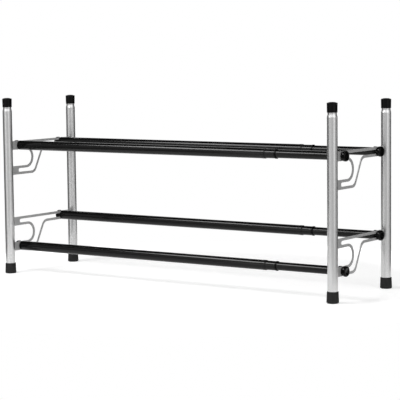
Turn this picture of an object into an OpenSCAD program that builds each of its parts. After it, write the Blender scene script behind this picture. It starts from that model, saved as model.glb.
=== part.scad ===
// Two-tier shoe rack whose rails telescope, so that it fills a gap of its own width.
// Two end frames of steel posts carry four rails. Each rail is a fixed outer tube on the left
// and an inner tube on the right that slides in it. Slotted brackets let the front rail of a
// tier sit level with the back rail or lower, which tilts the tier.
// X runs along the rails, Y from front to back, and Z up. The origin is on the floor, midway
// between the four posts.

/* [End frames] */
// Height over the top caps
rack_h = 356.4; // [320:0.2:420]
// Distance between the left and right posts as the rack stands, axis to axis
span_x = 752; // [680:1:900]
// Distance between the front and back posts, axis to axis
span_y = 202; // [190:1:260]
// Outside diameter of a post
post_d = 19; // [18:0.5:22]
// Wall of a post
post_wall = 1.2; // [0.8:0.1:1.5]
// Diameter of the reduced neck at the top of a post
neck_d = 16.8; // [15.5:0.1:17.2]
// Height of the neck that shows under the cap
neck_show = 3.2; // [1:0.1:8]
// Height of the taper between the post and its neck
shoulder_h = 4.8; // [3:0.1:15]

/* [Caps and feet] */
// Height of a top cap
cap_h = 18.6; // [12:0.1:30]
// Diameter of a cap at its top
cap_top_d = 19.4; // [18.8:0.1:22]
// Diameter of a cap at its mouth
cap_mouth_d = 18.8; // [18.2:0.1:21]
// Thickness of the cap over the end of the neck
cap_roof = 2.6; // [2:0.1:5]
// Rise of the crown of the cap
cap_crown = 1.6; // [0.5:0.1:2.5]
// Height of a foot
foot_h = 21.1; // [14:0.1:30]
// Wall of a foot at its mouth
foot_wall = 0.9; // [0.6:0.1:2]
// How much wider a foot is at the floor than at its mouth
foot_flare = 1.8; // [0.4:0.1:3]
// Thickness of the foot under the post
foot_floor = 4; // [2:0.1:8]
// Rounding of the lower edge of a foot
foot_round = 2.2; // [0.5:0.1:4]

/* [Brackets] */
// Height of the upper brackets' top edge over the floor
upper_top = 268; // [240:1:285]
// Height of the lower brackets' top edge over the floor
lower_top = 112.7; // [100:0.1:140]
// Thickness of the bracket sheet
sheet_t = 1.5; // [1:0.1:2.5]
// Height of a bracket
bracket_h = 68.5; // [62:0.5:76]
// Height of the lugs that meet the posts
lug_h = 17.5; // [16.5:0.1:20]
// Width of the ribs beside the slot
rib_w = 5; // [4:0.1:5.2]
// Width of the slanting strut
strut_w = 4; // [2.5:0.1:5]
// Distance from the front post's axis to the centre of the round loop
loop_reach = 55.5; // [50:0.5:60]
// Distance from the front post's axis to the top of the strut
strut_reach = 106.8; // [100:0.1:112]
// Lean of the strut from upright, in degrees
strut_lean = 28.3; // [24:0.1:30]
// Inside radius of the bend over the strut
bend_r = 15; // [8:0.5:18]
// Outside radius of the bend at the foot of the strut
heel_r = 16; // [10:0.5:18]
// Inside radius of the same bend, on the side of the slot
heel_slot_r = 12; // [8:0.5:13]
// Height of the tongues that hook into the posts
tongue_h = 10; // [6:0.5:12]

/* [Rails] */
// Distance between a rail's axis and the axis of the post beside it
rail_inset = 34.75; // [31:0.25:42]
// Outside diameter of the outer tubes
outer_d = 18.8; // [18.2:0.1:20.6]
// Length of the outer tubes
outer_l = 610; // [560:0.5:640]
// Outside diameter of the inner tubes
inner_d = 15.6; // [13:0.1:15.6]
// Length of the inner tubes
inner_l = 561; // [480:1:640]
// Wall of the tubes
tube_wall = 0.8; // [0.6:0.1:1]
// Length of the reduced end of the outer tubes
swage_l = 21; // [10:0.5:40]
// Length of the rolled bead before the reduced end
bead_l = 7; // [3:0.5:12]
// How far the bead stands proud of the tube
bead_rise = 0.25; // [0.1:0.05:0.6]
// Length of the ring on the mouth of an outer tube
ring_l = 3; // [3:0.1:10]
// Length of the ring that laps the reduced end
ring_lap = 1.4; // [1:0.1:1.6]
// Wall of the mouth ring over the reduced end
ring_wall = 0.4; // [0.4:0.1:1.2]
// Length of the bush's head in the outer tube
bush_head_l = 10; // [6:0.5:20]
// Length of the bush's spigot in the inner tube
bush_spigot_l = 12; // [6:0.5:20]

/* [Rail ends] */
// Thickness of the flange on a rail plug
flange_t = 4.6; // [3:0.1:6]
// Length of the plug inside the tube
plug_l = 18; // [15:0.5:30]
// Diameter of the threaded stud, over its thread
stud_d = 6; // [5:0.5:6.5]
// Length of the stud that enters the plug
stud_grip = 10; // [8:0.5:14]
// Diameter of the clamp knob
knob_d = 19.4; // [17:0.1:20]
// Thickness of the knob's round head
knob_t = 5.8; // [4:0.1:8]
// Diameter of the ribbed collar under the head
collar_d = 14.8; // [13:0.1:16]
// Thickness of the collar
collar_t = 3.8; // [2:0.1:5]
// Number of grip ribs on the collar
grip_count = 12; // [8:1:16]
// Radius of a grip rib
grip_r = 0.8; // [0.5:0.1:1]

/* [Clearances] */
// Gap where one piece rests against the next
seat_gap = 0.3; // [0.2:0.05:0.5]
// Gap round a piece that is pushed into or over another
push_gap = 0.1; // [0.05:0.01:0.15]
// Gap round a piece that slides or turns in another
slide_gap = 0.1; // [0.05:0.01:0.1]
// Gap round a tongue in its slit
slit_gap = 0.2; // [0.1:0.05:0.4]
// Room between the stud and the end of its slot
slot_room = 1.6; // [0.5:0.1:3]

/* [Hidden] */

// Sides, rows and tiers of the rack
LEFT = -1;
RIGHT = 1;
FRONT = -1;
BACK = 1;
UPPER = 1;
LOWER = 0;

STEEL = "#b9bcc0";
SHEET = "#8b8e92";
BLACK_PAINT = "#1d1d1f";
BLACK_PLASTIC = "#141415";
ZINC = "#a9adb1";

// Facets round a circle, and small amounts that keep cuts clean
$fn = 64;
cut = 1;
hair = 0.01;

post_r = post_d / 2;
neck_r = neck_d / 2;
cap_z = rack_h - cap_h;
neck_z = cap_z - neck_show;
neck_top_z = rack_h - cap_roof - seat_gap;
post_z = foot_floor + seat_gap;
cap_round = 0.7;
crown_round = 12;
flange_round = 1.5;
mouth_round = 0.5;

// The slot between the ribs, and where the rails sit in it
slot_h = lug_h - 2 * rib_w;
rail_gap = span_y - 2 * rail_inset;
front_seat = rail_inset;
back_seat = span_y - rail_inset;
slot_front = front_seat - stud_d / 2 - slot_room;
slot_back = back_seat + stud_d / 2 + slot_room;
loop_outer_r = bracket_h / 2 - lug_h + rib_w;
loop_inner_r = loop_outer_r - rib_w;
seat_drop = bracket_h - lug_h;
lug_edge = post_r + seat_gap;
tongue_reach = post_wall + 1.3;

// Rails: radii, and places along the bracket's outward normal
sheet_half = sheet_t / 2;
outer_r = outer_d / 2;
outer_bore_r = outer_r - tube_wall;
inner_r = inner_d / 2;
inner_bore_r = inner_r - tube_wall;
swage_bore_r = inner_r + slide_gap;
swage_r = swage_bore_r + tube_wall;
swage_taper = 1.5;
bead_edge = 0.6;
flange_out = sheet_half + seat_gap;
rail_end = flange_out + flange_t;
tube_end = rail_end + seat_gap;
stud_r = stud_d / 2;
knob_edge = 2.4;
knob_face_round = 0.6;
stud_head_l = collar_t + knob_t - 3;

function unit(v) = v / norm(v);

// Points of an arc of radius r that rounds the corner b between its neighbours a and c
function corner_arc(a, b, c, r, n) =
  let (
    u = unit(a - b),
    v = unit(c - b),
    half = acos(u * v) / 2,
    start = b + u * r / tan(half),
    stop = b + v * r / tan(half),
    mid = b + unit(u + v) * r / sin(half),
    a0 = atan2(start[1] - mid[1], start[0] - mid[0]),
    a1 = atan2(stop[1] - mid[1], stop[0] - mid[0]),
    sweep = (a1 - a0 + 540) % 360 - 180
  )
  [for (i = [0:n]) mid + r * [cos(a0 + sweep * i / n), sin(a0 + sweep * i / n)]];

// An outline from corners [x, y, radius], where a radius of 0 leaves the corner sharp
function rounded(corners) =
  let (n = len(corners))
  [
    for (i = [0:n - 1])
      let (
        a = corners[(i + n - 1) % n],
        b = corners[i],
        c = corners[(i + 1) % n],
        steps = b[2] > 10 ? 12 : 6
      )
      each b[2] == 0
        ? [[b[0], b[1]]]
        : corner_arc([a[0], a[1]], [b[0], b[1]], [c[0], c[1]], b[2], steps)
  ];

// Where the strut's centre line is at a height below the bracket's top edge, moved sideways
// by off, square to the strut
function strut_y(z, off) =
  strut_reach + (z + lug_h) * tan(strut_lean) + off / cos(strut_lean);

function row_y(row) = row * rail_gap / 2;

function tier_top(tier) = tier == UPPER ? upper_top : lower_top;

// The upper tier is level. The lower tier's front rail sits in the lower lugs
function rail_z(tier, row) =
  tier_top(tier) - lug_h / 2 - (tier == LOWER && row == FRONT ? seat_drop : 0);

module post(side, row) {
  color(STEEL)
  translate([side * span_x / 2, row * span_y / 2, 0])
  difference() {
    rotate_extrude()
    polygon([
      [post_r - post_wall, post_z],
      [post_r, post_z],
      [post_r, neck_z - shoulder_h],
      [neck_r, neck_z],
      [neck_r, neck_top_z],
      [neck_r - post_wall, neck_top_z],
      [neck_r - post_wall, neck_z],
      [post_r - post_wall, neck_z - shoulder_h]
    ]);
    for (tier = [LOWER, UPPER])
      translate([0, -row * post_r, tier_top(tier) - lug_h / 2])
      slits(row);
  }
}

// A slit for each tongue: one for each lug of the bracket that meets this post
module slits(row) {
  drops = row == FRONT ? [0, seat_drop] : [0];
  for (drop = drops)
    translate([0, 0, -drop])
    cube([sheet_t + 2 * slit_gap, 4 * post_wall, tongue_h + 2 * slit_gap], center = true);
}

module cap(side, row) {
  color(BLACK_PLASTIC)
  translate([side * span_x / 2, row * span_y / 2, cap_z])
  difference() {
    rotate_extrude()
    polygon(rounded([
      [0, 0, 0],
      [cap_mouth_d / 2, 0, mouth_round / 2],
      [cap_top_d / 2, cap_h - cap_crown, cap_round],
      [cap_top_d / 4, cap_h, crown_round],
      [0, cap_h, 0]
    ]));
    translate([0, 0, -cut])
    cylinder(r = neck_r + push_gap, h = cap_h - cap_roof + cut);
  }
}

module foot(side, row) {
  mouth_r = post_r + push_gap + foot_wall;
  color(BLACK_PLASTIC)
  translate([side * span_x / 2, row * span_y / 2, 0])
  difference() {
    rotate_extrude()
    polygon(rounded([
      [0, 0, 0],
      [mouth_r + foot_flare / 2, 0, foot_round],
      [mouth_r, foot_h, mouth_round / 2],
      [0, foot_h, 0]
    ]));
    translate([0, 0, foot_floor])
    cylinder(r = post_r + push_gap, h = foot_h);
  }
}

// Corners of a tongue on a lug's edge at y, from height z1 to height z2, that reaches to y + reach
function tongue(y, z1, z2, reach) =
  [[y, z1, 0], [y + reach, z1, 0], [y + reach, z2, 0], [y, z2, 0]];

// The bracket's outline, with the front post's axis at 0 and the top edge at 0. The round
// notch between the two front lugs is part of it
function bracket_outline() =
  let (
    back = span_y - lug_edge,
    notch_y = loop_reach + loop_inner_r,
    notch_r = loop_inner_r - hair,
    high = (tongue_h - lug_h) / 2,
    low = high - tongue_h,
    reach = seat_gap + tongue_reach
  )
  rounded([
    [lug_edge, 0, 0],
    [back, 0, 0],
    each tongue(back, high, low, reach),
    [back, -lug_h, 0],
    [strut_y(-lug_h, strut_w / 2), -lug_h, bend_r],
    [strut_y(-bracket_h, strut_w / 2), -bracket_h, heel_r],
    [lug_edge, -bracket_h, 0],
    each tongue(lug_edge, low - seat_drop, high - seat_drop, -reach),
    [lug_edge, -seat_drop, 0],
    [notch_y, -seat_drop, notch_r],
    [notch_y, -lug_h, notch_r],
    [lug_edge, -lug_h, 0],
    each tongue(lug_edge, low, high, -reach)
  ]);

// The slot that the studs pass through, from the upper front lug back along the top, and down
// round the loop to the lower front lug
function slot_outline() =
  let (
    end_r = slot_h / 2 - hair,
    loop_y = loop_reach + loop_outer_r,
    loop_r = loop_outer_r - hair,
    high = -rib_w,
    low = rib_w - bracket_h
  )
  rounded([
    [slot_front, high, end_r],
    [slot_back, high, end_r],
    [slot_back, high - slot_h, end_r],
    [strut_y(high - slot_h, -strut_w / 2), high - slot_h, bend_r + strut_w],
    [strut_y(low, -strut_w / 2), low, heel_slot_r],
    [slot_front, low, end_r],
    [slot_front, low + slot_h, end_r],
    [loop_y, low + slot_h, loop_r],
    [loop_y, high - slot_h, loop_r],
    [slot_front, high - slot_h, end_r]
  ]);

module bracket(side, tier) {
  color(SHEET)
  translate([side * span_x / 2, -span_y / 2, tier_top(tier)])
  rotate([90, 0, 90])
  linear_extrude(sheet_t, center = true)
  difference() {
    polygon(bracket_outline());
    polygon(slot_outline());
  }
}

// Puts a piece made round Z, with 0 at the bracket's middle and +Z outwards, on a rail's end
module at_rail_end(side, tier, row) {
  translate([side * span_x / 2, row_y(row), rail_z(tier, row)])
  rotate([0, side * 90, 0])
  children();
}

// Puts a piece made round Z on a rail, with 0 at the left end of the outer tube and +Z to the
// right
module along_rail(tier, row) {
  translate([tube_end - span_x / 2, row_y(row), rail_z(tier, row)])
  rotate([0, 90, 0])
  children();
}

module outer_tube(tier, row) {
  neck_start = outer_l - swage_l;
  bead_end = neck_start - swage_taper;
  bead_start = bead_end - bead_l;
  bead_r = outer_r + bead_rise;
  color(BLACK_PAINT)
  along_rail(tier, row)
  rotate_extrude()
  polygon([
    [outer_bore_r, 0],
    [outer_r, 0],
    [outer_r, bead_start],
    [bead_r, bead_start + bead_edge],
    [bead_r, bead_end - bead_edge],
    [outer_r, bead_end],
    [swage_r, neck_start],
    [swage_r, outer_l],
    [swage_bore_r, outer_l],
    [swage_bore_r, neck_start],
    [outer_bore_r, bead_end]
  ]);
}

module mouth_ring(tier, row) {
  ring_r = swage_r + push_gap + ring_wall;
  color(BLACK_PLASTIC)
  along_rail(tier, row)
  translate([0, 0, outer_l - ring_lap])
  difference() {
    rotate_extrude()
    polygon(rounded([
      [0, 0, 0],
      [ring_r, 0, mouth_round / 2],
      [ring_r, ring_l, mouth_round],
      [0, ring_l, 0]
    ]));
    translate([0, 0, -cut])
    cylinder(r = swage_bore_r, h = ring_l + 2 * cut);
    translate([0, 0, -cut])
    cylinder(r = swage_r + push_gap, h = ring_lap + seat_gap + cut);
  }
}

// Left end of the inner tubes, along the rail from the left end of the outer tube
function inner_start() = span_x - 2 * tube_end - inner_l;

module inner_tube(tier, row) {
  color(BLACK_PAINT)
  along_rail(tier, row)
  translate([0, 0, inner_start()])
  difference() {
    cylinder(r = inner_r, h = inner_l);
    translate([0, 0, -cut])
    cylinder(r = inner_bore_r, h = inner_l + 2 * cut);
  }
}

module glide_bush(tier, row) {
  color(BLACK_PLASTIC)
  along_rail(tier, row)
  translate([0, 0, inner_start()]) {
    translate([0, 0, -seat_gap - bush_head_l])
    cylinder(r = outer_bore_r - slide_gap, h = bush_head_l);
    translate([0, 0, -seat_gap - hair])
    cylinder(r = inner_bore_r - push_gap, h = bush_spigot_l);
  }
}

// Plug pushed into a rail's end, with a flange that covers the end and a threaded bore
module plug(side, tier, row) {
  spigot_r = (side == LEFT ? outer_bore_r : inner_bore_r) - push_gap;
  color(BLACK_PLASTIC)
  at_rail_end(side, tier, row)
  difference() {
    union() {
      translate([0, 0, -rail_end])
      rotate_extrude()
      polygon(rounded([
        [0, 0, 0],
        [outer_r, 0, 0],
        [outer_r, flange_t, flange_round],
        [0, flange_t, 0]
      ]));
      translate([0, 0, -rail_end - plug_l])
      cylinder(r = spigot_r, h = plug_l + hair);
    }
    translate([0, 0, -rail_end - stud_grip - 2 * seat_gap])
    cylinder(r = stud_r + slide_gap, h = rail_end + stud_grip);
  }
}

// Round head with a ribbed collar, turned by hand to clamp the rail to its bracket
module knob(side, tier, row) {
  collar_z = sheet_half + seat_gap;
  head_z = collar_z + collar_t;
  color(BLACK_PLASTIC)
  at_rail_end(side, tier, row)
  difference() {
    union() {
      translate([0, 0, collar_z])
      cylinder(r = collar_d / 2, h = collar_t + hair);
      for (i = [0:grip_count - 1])
        rotate([0, 0, i * 360 / grip_count])
        translate([collar_d / 2, 0, collar_z])
        cylinder(r = grip_r, h = collar_t + hair, $fn = 24);
      translate([0, 0, head_z])
      rotate_extrude()
      polygon(rounded([
        [0, 0, 0],
        [knob_d / 2, 0, knob_face_round],
        [knob_d / 2, knob_t, knob_edge],
        [0, knob_t, 0]
      ]));
    }
    translate([0, 0, collar_z - cut])
    cylinder(r = stud_r + push_gap, h = stud_head_l + cut);
  }
}

module stud(side, tier, row) {
  collar_z = sheet_half + seat_gap;
  color(ZINC)
  at_rail_end(side, tier, row)
  translate([0, 0, -rail_end - stud_grip])
  cylinder(r = stud_r, h = rail_end + stud_grip + collar_z + stud_head_l - seat_gap);
}

post(LEFT, FRONT);  // post_left_front
post(LEFT, BACK);  // post_left_back
post(RIGHT, FRONT);  // post_right_front
post(RIGHT, BACK);  // post_right_back
cap(LEFT, FRONT);  // cap_left_front
cap(LEFT, BACK);  // cap_left_back
cap(RIGHT, FRONT);  // cap_right_front
cap(RIGHT, BACK);  // cap_right_back
foot(LEFT, FRONT);  // foot_left_front
foot(LEFT, BACK);  // foot_left_back
foot(RIGHT, FRONT);  // foot_right_front
foot(RIGHT, BACK);  // foot_right_back
bracket(LEFT, UPPER);  // bracket_left_upper
bracket(LEFT, LOWER);  // bracket_left_lower
bracket(RIGHT, UPPER);  // bracket_right_upper
bracket(RIGHT, LOWER);  // bracket_right_lower
outer_tube(UPPER, FRONT);  // outer_tube_upper_front
outer_tube(UPPER, BACK);  // outer_tube_upper_back
outer_tube(LOWER, FRONT);  // outer_tube_lower_front
outer_tube(LOWER, BACK);  // outer_tube_lower_back
mouth_ring(UPPER, FRONT);  // mouth_ring_upper_front
mouth_ring(UPPER, BACK);  // mouth_ring_upper_back
mouth_ring(LOWER, FRONT);  // mouth_ring_lower_front
mouth_ring(LOWER, BACK);  // mouth_ring_lower_back
inner_tube(UPPER, FRONT);  // inner_tube_upper_front
inner_tube(UPPER, BACK);  // inner_tube_upper_back
inner_tube(LOWER, FRONT);  // inner_tube_lower_front
inner_tube(LOWER, BACK);  // inner_tube_lower_back
glide_bush(UPPER, FRONT);  // glide_bush_upper_front
glide_bush(UPPER, BACK);  // glide_bush_upper_back
glide_bush(LOWER, FRONT);  // glide_bush_lower_front
glide_bush(LOWER, BACK);  // glide_bush_lower_back
plug(LEFT, UPPER, FRONT);  // plug_left_upper_front
plug(LEFT, UPPER, BACK);  // plug_left_upper_back
plug(LEFT, LOWER, FRONT);  // plug_left_lower_front
plug(LEFT, LOWER, BACK);  // plug_left_lower_back
plug(RIGHT, UPPER, FRONT);  // plug_right_upper_front
plug(RIGHT, UPPER, BACK);  // plug_right_upper_back
plug(RIGHT, LOWER, FRONT);  // plug_right_lower_front
plug(RIGHT, LOWER, BACK);  // plug_right_lower_back
knob(LEFT, UPPER, FRONT);  // knob_left_upper_front
knob(LEFT, UPPER, BACK);  // knob_left_upper_back
knob(LEFT, LOWER, FRONT);  // knob_left_lower_front
knob(LEFT, LOWER, BACK);  // knob_left_lower_back
knob(RIGHT, UPPER, FRONT);  // knob_right_upper_front
knob(RIGHT, UPPER, BACK);  // knob_right_upper_back
knob(RIGHT, LOWER, FRONT);  // knob_right_lower_front
knob(RIGHT, LOWER, BACK);  // knob_right_lower_back
stud(LEFT, UPPER, FRONT);  // stud_left_upper_front
stud(LEFT, UPPER, BACK);  // stud_left_upper_back
stud(LEFT, LOWER, FRONT);  // stud_left_lower_front
stud(LEFT, LOWER, BACK);  // stud_left_lower_back
stud(RIGHT, UPPER, FRONT);  // stud_right_upper_front
stud(RIGHT, UPPER, BACK);  // stud_right_upper_back
stud(RIGHT, LOWER, FRONT);  // stud_right_lower_front
stud(RIGHT, LOWER, BACK);  // stud_right_lower_back
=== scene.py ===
import math

import bmesh
import bpy
from mathutils import Matrix, Vector


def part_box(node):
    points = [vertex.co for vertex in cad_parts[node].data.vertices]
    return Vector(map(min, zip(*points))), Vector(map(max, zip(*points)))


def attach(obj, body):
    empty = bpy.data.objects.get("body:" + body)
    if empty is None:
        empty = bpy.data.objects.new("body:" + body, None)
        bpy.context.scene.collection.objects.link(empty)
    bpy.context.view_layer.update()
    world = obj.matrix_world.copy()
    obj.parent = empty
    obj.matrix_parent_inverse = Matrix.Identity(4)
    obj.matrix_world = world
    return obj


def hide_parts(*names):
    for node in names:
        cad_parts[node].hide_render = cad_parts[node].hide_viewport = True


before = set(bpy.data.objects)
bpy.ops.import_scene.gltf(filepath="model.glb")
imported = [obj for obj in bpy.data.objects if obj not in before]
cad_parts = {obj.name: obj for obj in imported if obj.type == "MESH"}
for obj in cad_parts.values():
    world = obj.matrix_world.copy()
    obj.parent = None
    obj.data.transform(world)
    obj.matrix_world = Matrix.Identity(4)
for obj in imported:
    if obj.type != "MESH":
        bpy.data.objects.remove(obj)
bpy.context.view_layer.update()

# The photograph's camera: place in metres, turns in degrees, sensor and lens in millimetres
CAMERA_AT = (1.7477, -2.5180, 0.4565)
CAMERA_YAW = -34.39
CAMERA_PITCH = 5.57
CAMERA_ROLL = -0.64
SENSOR = 36.0
LENS = 142.2

# A millimetre, in metres
MM = 0.001

# Millimetre sizes of the detailed pieces, as on the solids that they stand for.
# Knob: collar with its ribs, head, bore for the stud, and the face's rim
GRIP_COUNT, GRIP_R = 12, 0.8
COLLAR_R, COLLAR_T = 7.4, 3.8
HEAD_D, HEAD_T, HEAD_EDGE = 19.4, 5.8, 2.4
BORE_R, BORE_END = 3.1, 3.0
RIM_W, RIM_ROUND = 0.9, 0.25
# The dish in the knob's face as distances in from the rim and down from the face, and the nub
# in the dish's middle as radii and distances down from the face
DISH = ((1.5, 0.42), (3.0, 0.5))
NUB = ((1.6, 0.55), (1.3, 0.3), (1.0, 0.22), (0.3, 0.22))
# Stud: thread, its turns' pitch, and the points along a turn and round the stud
THREAD_R, THREAD_DEPTH, PITCH = 3.0, 0.55, 1.0
THREAD_ROWS, THREAD_COUNT = 4, 16
# Foot: the post's radius and its gap in the foot, floor, mouth and the round at the sole
POST_R, POST_GAP = 9.5, 0.1
FOOT_FLOOR, FOOT_MOUTH, FOOT_ROUND = 4.0, 10.5, 2.2
# Rings under the sole as radii and heights, and the mouth's lip as distances in and down
SOLE = ((1.2, 0.9), (2.6, 0.9), (3.0, 0.5), (3.4, 0.0), (5.6, 0.0), (5.8, 0.5), (6.6, 0.5),
        (6.8, 0.0))
LIP = ((-0.02, 0.3), (0.1, 0.07), (0.3, 0.0))
# Points round a knob or a foot
ROUND_COUNT = 96
# Round on the sheet's edges, and the least angle, in degrees, of an edge that gets it
SHEET_ROUND, SHEET_ANGLE = 0.25, 50.0
# Faces that meet at a larger angle than this keep a crisp edge, in degrees
CRISP_ANGLE = 32.0

# The studio's paper floor: radius, drop below the feet, number of sides, colour, what it adds to
# reach white for the lens, and the radii between which it fades to pure white
FLOOR_R, FLOOR_DROP, FLOOR_SIDES = 0.6, 0.0002, 96
FLOOR_COLOR = 0.6
FLOOR_GLOW = 0.605
FLOOR_FADE = (0.42, 0.58)

# Lamps: name, azimuth, elevation, distance, size, radiance and the point each one faces.
# Azimuth 0 is in front of the rack, and 90 is to its right
MIDDLE = (0.0, 0.0, 0.18)
LAMPS = (
    ("strip_above", -48.0, 41.0, 1.5, (0.95, 0.36), 13.0, (0.33, 0.0, 0.15)),
    ("top", 0.0, 86.0, 2.0, (0.9, 0.36), 5.0, MIDDLE),
    ("key_right", 72.0, 12.0, 2.6, (1.1, 1.5), 0.63, MIDDLE),
    ("strip_left", -24.0, 1.0, 1.45, (0.14, 0.8), 1.25, MIDDLE),
    ("rim_right", 122.0, 2.0, 2.6, (0.5, 1.2), 0.6, MIDDLE),
)
# Lamps that only show in reflections
GLEAMS = ("top",)

# The level way from the rack to the camera
TO_LENS = (0.565, -0.825, 0.0)
# Greys of the studio walls, at places from straight behind the rack (0) to behind the camera (1)
ROOM = ((0.0, 1.0), (0.04, 1.0), (0.06, 0.02), (0.42, 0.03), (0.52, 0.13), (0.68, 0.50),
        (0.82, 0.74), (0.95, 0.64), (1.0, 0.54))
# Where the white backdrop stands, at the same places
BACKDROP = ((0.0, 1.0), (0.045, 1.0), (0.06, 0.0), (1.0, 0.0))
# How much lighter the walls are, at places from the nadir (0) over the horizon (0.5) to the top
RISE = ((0.0, 1.0), (0.50, 1.0), (0.58, 1.3), (0.66, 2.4), (0.74, 2.2), (0.85, 0.8), (1.0, 0.3))


def node(mat, kind, **inputs):
    n = mat.node_tree.nodes.new(kind)
    for key, value in inputs.items():
        n.inputs[key.replace("_", " ")].default_value = value
    return n


def link(mat, a, b):
    mat.node_tree.links.new(a, b)


def principled(name, color, **inputs):
    mat = bpy.data.materials.new(name)
    mat.use_nodes = True
    shader = mat.node_tree.nodes["Principled BSDF"]
    shader.inputs["Base Color"].default_value = (*color, 1.0)
    for key, value in inputs.items():
        shader.inputs[key.replace("_", " ")].default_value = value
    return mat, shader


def object_coords(mat, scale=(1.0, 1.0, 1.0)):
    coords = node(mat, "ShaderNodeTexCoord")
    mapping = node(mat, "ShaderNodeMapping", Scale=scale)
    link(mat, coords.outputs["Object"], mapping.inputs["Vector"])
    return mapping.outputs["Vector"]


def noise(mat, vector, scale, detail=3.0, rough=0.55):
    n = node(mat, "ShaderNodeTexNoise", Scale=scale, Detail=detail, Roughness=rough)
    link(mat, vector, n.inputs["Vector"])
    return n.outputs["Fac"]


def ranged(mat, value, low, high, a=0.3, b=0.7):
    n = node(mat, "ShaderNodeMapRange")
    n.inputs["From Min"].default_value = a
    n.inputs["From Max"].default_value = b
    n.inputs["To Min"].default_value = low
    n.inputs["To Max"].default_value = high
    link(mat, value, n.inputs["Value"])
    return n.outputs["Result"]


def blended(mat, fac, one, two):
    n = mat.node_tree.nodes.new("ShaderNodeMix")
    n.data_type = "RGBA"
    n.inputs["A"].default_value = (*one, 1.0)
    n.inputs["B"].default_value = (*two, 1.0)
    link(mat, fac, n.inputs["Factor"])
    return n.outputs["Result"]


def bumped(mat, shader, height, strength, distance):
    n = node(mat, "ShaderNodeBump", Strength=strength, Distance=distance)
    link(mat, height, n.inputs["Height"])
    link(mat, n.outputs["Normal"], shader.inputs["Normal"])


def silver_paint(name, stretch, color, metal, rough):
    """Silver powder coat over drawn steel. stretch is the way its faint lines run."""
    mat, shader = principled(name, (color,) * 3, Metallic=metal)
    fine = object_coords(mat)
    lines = object_coords(mat, stretch)
    tone = noise(mat, lines, 420.0, 4.0)
    light, dark = (color * 1.02,) * 3, (color * 0.975,) * 3
    link(mat, blended(mat, ranged(mat, tone, 0.0, 1.0), dark, light), shader.inputs["Base Color"])
    flake = noise(mat, fine, 2600.0, 1.0)
    link(mat, ranged(mat, flake, rough - 0.03, rough + 0.03), shader.inputs["Roughness"])
    bumped(mat, shader, noise(mat, fine, 1500.0, 2.0), 0.06, 0.00005)
    return mat


def sheet_paint(face, edge, spread):
    """Grey powder coat on stamped sheet, with painted shade on the cut edges, which get the
    darker edge grey instead of the face's. The face's tone wanders by the spread."""
    mat, shader = principled("sheet_paint", (face,) * 3, Metallic=0.15)
    coords = node(mat, "ShaderNodeTexCoord")
    facing = node(mat, "ShaderNodeSeparateXYZ")
    link(mat, coords.outputs["Normal"], facing.inputs[0])
    sideways = node(mat, "ShaderNodeMath")
    sideways.operation = "ABSOLUTE"
    link(mat, facing.outputs["X"], sideways.inputs[0])
    edge_shade_mask = ranged(mat, sideways.outputs[0], 0.0, 1.0, 0.3, 0.8)
    fine = object_coords(mat)
    cloud = noise(mat, fine, 90.0, 4.0)
    clouded = blended(mat, ranged(mat, cloud, 0.0, 1.0), (face - spread,) * 3,
                      (face + spread,) * 3)
    # Painted shade: faces that don't point along X, the sheet's cut edges, get the darker edge
    # grey; the broad faces keep the clouded face grey
    tone = blended(mat, edge_shade_mask, (edge,) * 3, (face,) * 3)
    link(mat, clouded, tone.node.inputs["B"])
    link(mat, tone, shader.inputs["Base Color"])
    link(mat, ranged(mat, noise(mat, fine, 1400.0, 2.0), 0.36, 0.46), shader.inputs["Roughness"])
    bumped(mat, shader, noise(mat, fine, 1100.0, 2.0), 0.15, 0.00006)
    return mat


def black_paint():
    """Glossy black powder coat, with its orange peel."""
    mat, shader = principled("black_paint", (0.003,) * 3, Specular_IOR_Level=0.2)
    fine = object_coords(mat)
    cloud = noise(mat, fine, 60.0, 3.0)
    link(mat, blended(mat, ranged(mat, cloud, 0.0, 1.0), (0.0022,) * 3, (0.004,) * 3),
         shader.inputs["Base Color"])
    link(mat, ranged(mat, noise(mat, fine, 900.0, 2.0), 0.11, 0.17), shader.inputs["Roughness"])
    bumped(mat, shader, noise(mat, fine, 600.0, 2.0), 0.06, 0.00006)
    return mat


def black_plastic(name, color, gloss, rough, grain):
    """Moulded plastic with a fine spark-eroded grain."""
    mat, shader = principled(name, (color,) * 3, Specular_IOR_Level=gloss)
    fine = object_coords(mat)
    cloud = noise(mat, fine, 160.0, 3.0)
    link(mat, blended(mat, ranged(mat, cloud, 0.0, 1.0), (color * 0.8,) * 3, (color * 1.25,) * 3),
         shader.inputs["Base Color"])
    link(mat, ranged(mat, noise(mat, fine, 1800.0, 2.0), rough - 0.05, rough + 0.07),
         shader.inputs["Roughness"])
    bumped(mat, shader, noise(mat, fine, 2400.0, 2.0), grain, 0.00008)
    return mat


def zinc():
    mat, shader = principled("zinc_steel", (0.6, 0.6, 0.6), Metallic=1.0)
    fine = object_coords(mat)
    link(mat, ranged(mat, noise(mat, fine, 500.0, 3.0), 0.28, 0.45), shader.inputs["Roughness"])
    bumped(mat, shader, noise(mat, fine, 900.0, 2.0), 0.15, 0.00005)
    return mat


# One material for each kind of node, by the first word of the node's name
MATERIALS = {
    "post": silver_paint("silver_posts", (1.0, 1.0, 0.02), color=0.62, metal=0.88, rough=0.27),
    # edge is painted shade: a darker grey given to the sheet's cut edges than to its faces
    "bracket": sheet_paint(face=0.48, edge=0.26, spread=0.015),
    "outer": black_paint(),
    "cap": black_plastic("cap_plastic", color=0.0035, gloss=0.10, rough=0.18, grain=0.1),
    "foot": black_plastic("foot_rubber", color=0.007, gloss=0.25, rough=0.5, grain=0.3),
    "mouth": black_plastic("ring_plastic", color=0.0015, gloss=0.10, rough=0.3, grain=0.2),
    "knob": black_plastic("knob_plastic", color=0.0008, gloss=0.14, rough=0.1, grain=0.05),
    "stud": zinc(),
}
MATERIALS["inner"] = MATERIALS["outer"]
MATERIALS["glide"] = MATERIALS["mouth"]
MATERIALS["plug"] = MATERIALS["cap"]


def dress_nodes():
    for name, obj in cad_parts.items():
        obj.data.materials.clear()
        obj.data.materials.append(MATERIALS[name.split("_")[0]])


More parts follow.
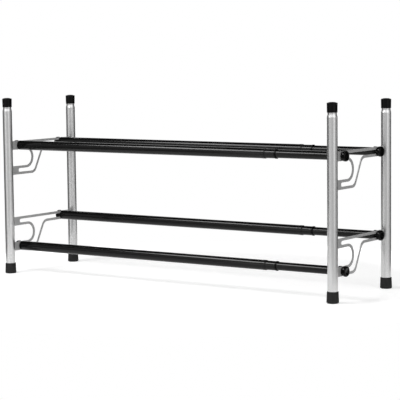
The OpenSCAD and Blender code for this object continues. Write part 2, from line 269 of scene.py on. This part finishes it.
def polished(obj):
    """Smooth faces with crisp edges where they meet at a large angle."""
    obj.data.polygons.foreach_set("use_smooth", [True] * len(obj.data.polygons))
    obj.data.set_sharp_from_angle(angle=math.radians(CRISP_ANGLE))


def ring_mesh(name, rings, count):
    """A closed skin over rings of points round Z. A ring is a function of an angle that gives
    a radius, or a plain radius, with its height. The first and last rings close to a point."""
    shape = bmesh.new()
    loops = []
    for radius, height in rings:
        loop = []
        for i in range(count):
            angle = 2.0 * math.pi * i / count
            r = radius(angle) if callable(radius) else radius
            loop.append(shape.verts.new((r * math.cos(angle), r * math.sin(angle), height)))
        loops.append(loop)
    for low, high in zip(loops, loops[1:]):
        for i in range(count):
            j = (i + 1) % count
            shape.faces.new((low[i], low[j], high[j], high[i]))
    for loop, turned in ((loops[0], True), (loops[-1], False)):
        height = loop[0].co.z
        tip = shape.verts.new((0.0, 0.0, height))
        for i in range(count):
            a, b = loop[i], loop[(i + 1) % count]
            shape.faces.new((b, a, tip) if turned else (a, b, tip))
    mesh = bpy.data.meshes.new(name)
    shape.to_mesh(mesh)
    shape.free()
    return mesh


def placed(name, mesh, material, node_name, body, quaternion, at):
    """Puts a piece in a node's stead, on the node's body."""
    obj = bpy.data.objects.new(name, mesh)
    bpy.context.scene.collection.objects.link(obj)
    obj.rotation_mode = "QUATERNION"
    obj.rotation_quaternion = quaternion
    obj.location = at
    if not mesh.materials:
        mesh.materials.append(material)
        polished(obj)
    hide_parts(node_name)
    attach(obj, body)


def arc_points(middle, radius, start, stop, steps):
    """Places on an arc in a profile of radius and height. Angles are in degrees from outwards."""
    points = []
    for i in range(steps + 1):
        a = math.radians(start + (stop - start) * i / steps)
        points.append((middle[0] + radius * math.cos(a), middle[1] + radius * math.sin(a)))
    return points


def scaled(points):
    return [(r if callable(r) else r * MM, z * MM) for r, z in points]


def ribbed(angle):
    """Outline of the knob's collar: a cylinder with a half-round rib at each step."""
    step = 2.0 * math.pi / GRIP_COUNT
    off = (angle + step / 2.0) % step - step / 2.0
    side = COLLAR_R * math.sin(off)
    if abs(side) >= GRIP_R:
        return COLLAR_R * MM
    return (COLLAR_R * math.cos(off) + math.sqrt(GRIP_R ** 2 - side ** 2)) * MM


def knob_mesh():
    """Clamp knob: ribbed collar, round head, and a face with a rim and a shallow dish."""
    top, head = COLLAR_T + HEAD_T, HEAD_D / 2.0
    rim = head - HEAD_EDGE
    inside = [(BORE_R, top - BORE_END), (BORE_R, 0.0)]
    collar = [(COLLAR_R - 0.9, 0.0), (lambda a: ribbed(a) - 0.25 * MM, 0.0), (ribbed, 0.25),
              (ribbed, COLLAR_T - 0.3), (lambda a: ribbed(a) + 0.2 * MM, COLLAR_T)]
    under = [(head - 0.6, COLLAR_T)] + arc_points((head - 0.4, COLLAR_T + 0.4), 0.4, -90, 0, 3)
    edge = arc_points((rim, top - HEAD_EDGE), HEAD_EDGE, 0, 90, 8)
    inner = rim - RIM_W
    face = [(inner, top)] + arc_points((inner, top - RIM_ROUND), RIM_ROUND, 90, 180, 3)[1:]
    dish = [(rim - x, top - z) for x, z in DISH] + [(r, top - z) for r, z in NUB]
    return ring_mesh("knob", scaled(inside + collar + under + edge + face + dish), ROUND_COUNT)


def thread_mesh(length):
    """Zinc-plated stud with a rolled thread and chamfered ends."""
    rows = int(length / PITCH * THREAD_ROWS)
    rings = []
    for i in range(rows + 1):
        z = length * i / rows
        end = min(z, length - z)

        def radius(angle, z=z, end=end):
            wave = (z / PITCH - angle / (2.0 * math.pi)) % 1.0
            depth = THREAD_DEPTH * abs(2.0 * wave - 1.0)
            return (THREAD_R - max(depth, THREAD_DEPTH * (1.0 - end))) * MM
        rings.append((radius, z))
    return ring_mesh("stud", scaled(rings), THREAD_COUNT)


def fit_clamps():
    """A detailed knob and stud for each clamp, where their solids are."""
    knob = knob_mesh()
    out = Vector((0.0, 0.0, 1.0))
    stud = None
    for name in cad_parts:
        kind = name.split("_")[0]
        if kind not in ("knob", "stud"):
            continue
        low, high = (Vector(v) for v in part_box(name))
        side = 1.0 if "_right_" in name else -1.0
        turn = out.rotation_difference(Vector((side, 0.0, 0.0)))
        at = (low + high) / 2.0
        at.x = low.x if side > 0.0 else high.x
        body = name.replace(kind, "clamp", 1)
        if kind == "stud":
            stud = stud or thread_mesh((high.x - low.x) / MM)
            placed("thread" + name[4:], stud, MATERIALS["stud"], name, body, turn, at)
        else:
            placed("grip" + name[4:], knob, MATERIALS["knob"], name, body, turn, at)


def foot_mesh(height, mouth, flare):
    """Moulded foot with a lipped mouth, and rings under its sole."""
    bottom = mouth + flare / 2.0
    bore = POST_R + POST_GAP
    outside = arc_points((bottom - FOOT_ROUND, FOOT_ROUND), FOOT_ROUND, -90, 4, 8)
    wall = [(mouth - x, height - z) for x, z in LIP]
    inside = [(bore, height), (bore, FOOT_FLOOR), (0.3, FOOT_FLOOR)]
    return ring_mesh("foot", scaled(list(SOLE) + outside + wall + inside), ROUND_COUNT)


def fit_feet():
    """A detailed foot for each post, where its solid is."""
    foot = None
    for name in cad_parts:
        if not name.startswith("foot_"):
            continue
        low, high = (Vector(v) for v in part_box(name))
        if foot is None:
            foot = foot_mesh(high.z / MM, FOOT_MOUTH, (high.x - low.x) / MM - 2.0 * FOOT_MOUTH)
        at = Vector(((low.x + high.x) / 2.0, (low.y + high.y) / 2.0, 0.0))
        body = "%s_frame" % name.split("_")[1]
        placed("sole" + name[4:], foot, MATERIALS["foot"], name, body,
               (1.0, 0.0, 0.0, 0.0), at)


def soften_sheet():
    """The stamping press leaves a small round on the sheet's edges."""
    for name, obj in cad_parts.items():
        if name.startswith("bracket"):
            soft = obj.modifiers.new("edge_round", "BEVEL")
            soft.width = SHEET_ROUND * MM
            soft.segments = 2
            soft.limit_method = "ANGLE"
            soft.angle_limit = math.radians(SHEET_ANGLE)


def white_to_lens(tree):
    """The light path, with a value of 1 for camera, glossy and transmission rays, which see the
    white studio itself."""
    nodes, links = tree.nodes, tree.links
    path = nodes.new("ShaderNodeLightPath")
    first, second = nodes.new("ShaderNodeMath"), nodes.new("ShaderNodeMath")
    first.operation = second.operation = "MAXIMUM"
    links.new(path.outputs["Is Camera Ray"], first.inputs[0])
    links.new(path.outputs["Is Glossy Ray"], first.inputs[1])
    links.new(first.outputs[0], second.inputs[0])
    links.new(path.outputs["Is Transmission Ray"], second.inputs[1])
    return path, second.outputs[0]


def studio_floor():
    """A round sheet of white paper that keeps soft shadows and ends in the white behind it."""
    mesh = bpy.data.meshes.new("floor")
    shape = bmesh.new()
    bmesh.ops.create_circle(shape, cap_ends=True, segments=FLOOR_SIDES, radius=FLOOR_R)
    shape.to_mesh(mesh)
    shape.free()
    floor = bpy.data.objects.new("floor", mesh)
    floor.location = (0.0, 0.0, -FLOOR_DROP)
    bpy.context.scene.collection.objects.link(floor)
    mat, paper = principled("floor_paper", (FLOOR_COLOR,) * 3, Roughness=0.9,
                            Specular_IOR_Level=0.0)
    reach = node(mat, "ShaderNodeVectorMath")
    reach.operation = "LENGTH"
    link(mat, node(mat, "ShaderNodeTexCoord").outputs["Object"], reach.inputs[0])
    level = ranged(mat, reach.outputs["Value"], FLOOR_GLOW, 1.0, *FLOOR_FADE)
    seen = white_to_lens(mat.node_tree)[1]
    strength = node(mat, "ShaderNodeMath")
    strength.operation = "MULTIPLY"
    link(mat, level, strength.inputs[0])
    link(mat, seen, strength.inputs[1])
    glow = node(mat, "ShaderNodeEmission")
    link(mat, strength.outputs[0], glow.inputs["Strength"])
    both = node(mat, "ShaderNodeAddShader")
    link(mat, glow.outputs["Emission"], both.inputs[0])
    link(mat, paper.outputs["BSDF"], both.inputs[1])
    link(mat, both.outputs["Shader"], mat.node_tree.nodes["Material Output"].inputs["Surface"])
    mesh.materials.append(mat)


def wall_ramp(tree, direction, axis, stops):
    """Greys that change with the cosine of the angle between a direction and an axis."""
    nodes, links = tree.nodes, tree.links
    dot = nodes.new("ShaderNodeVectorMath")
    dot.operation = "DOT_PRODUCT"
    dot.inputs[1].default_value = axis
    place = nodes.new("ShaderNodeMapRange")
    place.inputs["From Min"].default_value = -1.0
    ramp = nodes.new("ShaderNodeValToRGB")
    marks = ramp.color_ramp.elements
    while len(marks) < len(stops):
        marks.new(0.5)
    for mark, (at, grey) in zip(marks, stops):
        mark.position = at
        mark.color = (grey, grey, grey, 1.0)
    links.new(direction, dot.inputs[0])
    links.new(dot.outputs["Value"], place.inputs["Value"])
    links.new(place.outputs["Result"], ramp.inputs["Fac"])
    return ramp.outputs["Color"]


def studio_world():
    """White to the camera. In reflections it is the same white where the backdrop stands, behind
    the rack, then dark flags beside that, and a pale room in front."""
    world = bpy.data.worlds.new("studio")
    world.use_nodes = True
    bpy.context.scene.world = world
    tree = world.node_tree
    nodes, links = tree.nodes, tree.links
    direction = nodes.new("ShaderNodeTexCoord").outputs["Generated"]
    level = nodes.new("ShaderNodeMath")
    level.operation = "MULTIPLY"
    links.new(wall_ramp(tree, direction, TO_LENS, ROOM), level.inputs[0])
    links.new(wall_ramp(tree, direction, (0.0, 0.0, 1.0), RISE), level.inputs[1])
    room = nodes["Background"]
    room.inputs["Color"].default_value = (1.0, 1.0, 1.0, 1.0)
    white = nodes.new("ShaderNodeBackground")
    white.inputs["Color"].default_value = (1.0, 1.0, 1.0, 1.0)
    path, seen = white_to_lens(tree)
    behind, share = nodes.new("ShaderNodeMath"), nodes.new("ShaderNodeMath")
    behind.operation, share.operation = "MULTIPLY", "MAXIMUM"
    links.new(seen, behind.inputs[0])
    links.new(wall_ramp(tree, direction, TO_LENS, BACKDROP), behind.inputs[1])
    links.new(behind.outputs[0], share.inputs[0])
    links.new(path.outputs["Is Camera Ray"], share.inputs[1])
    mix = nodes.new("ShaderNodeMixShader")
    links.new(level.outputs[0], room.inputs["Strength"])
    links.new(share.outputs[0], mix.inputs["Fac"])
    links.new(room.outputs["Background"], mix.inputs[1])
    links.new(white.outputs["Background"], mix.inputs[2])
    links.new(mix.outputs["Shader"], nodes["World Output"].inputs["Surface"])


def softbox(name, azimuth, elevation, distance, size, radiance, aim):
    """A rectangular lamp, which the lens doesn't see."""
    lamp = bpy.data.lights.new(name, "AREA")
    lamp.shape = "RECTANGLE"
    lamp.size, lamp.size_y = size
    lamp.energy = radiance * math.pi * size[0] * size[1]
    obj = bpy.data.objects.new(name, lamp)
    bpy.context.scene.collection.objects.link(obj)
    a, e = math.radians(azimuth), math.radians(elevation)
    back = Vector((math.sin(a) * math.cos(e), -math.cos(a) * math.cos(e), math.sin(e)))
    obj.location = Vector(aim) + back * distance
    obj.rotation_mode = "QUATERNION"
    obj.rotation_quaternion = (-back).to_track_quat("-Z", "Y")
    obj.visible_camera = False
    obj.visible_diffuse = name not in GLEAMS


def photo_camera():
    """A camera where the photograph's was, without shift and depth of field."""
    yaw, pitch, roll = (math.radians(a) for a in (CAMERA_YAW, CAMERA_PITCH, CAMERA_ROLL))
    look = Vector((math.sin(yaw) * math.cos(pitch), math.cos(yaw) * math.cos(pitch),
                   -math.sin(pitch)))
    right = Vector((math.cos(yaw), -math.sin(yaw), 0.0))
    up = right.cross(look)
    side = math.cos(roll) * right + math.sin(roll) * up
    top = -math.sin(roll) * right + math.cos(roll) * up
    turn = Matrix((side, top, -look)).transposed()
    data = bpy.data.cameras.new("camera")
    data.sensor_width = SENSOR
    data.lens = LENS
    data.clip_start, data.clip_end = 0.1, 100.0
    cam = bpy.data.objects.new("camera", data)
    cam.location = CAMERA_AT
    cam.rotation_mode = "QUATERNION"
    cam.rotation_quaternion = turn.to_quaternion()
    bpy.context.scene.collection.objects.link(cam)
    bpy.context.scene.camera = cam


photo_camera()
studio_world()
studio_floor()
for lamp in LAMPS:
    softbox(*lamp)
dress_nodes()
fit_clamps()
fit_feet()
soften_sheet()
bpy.context.scene.view_settings.view_transform = "Standard"
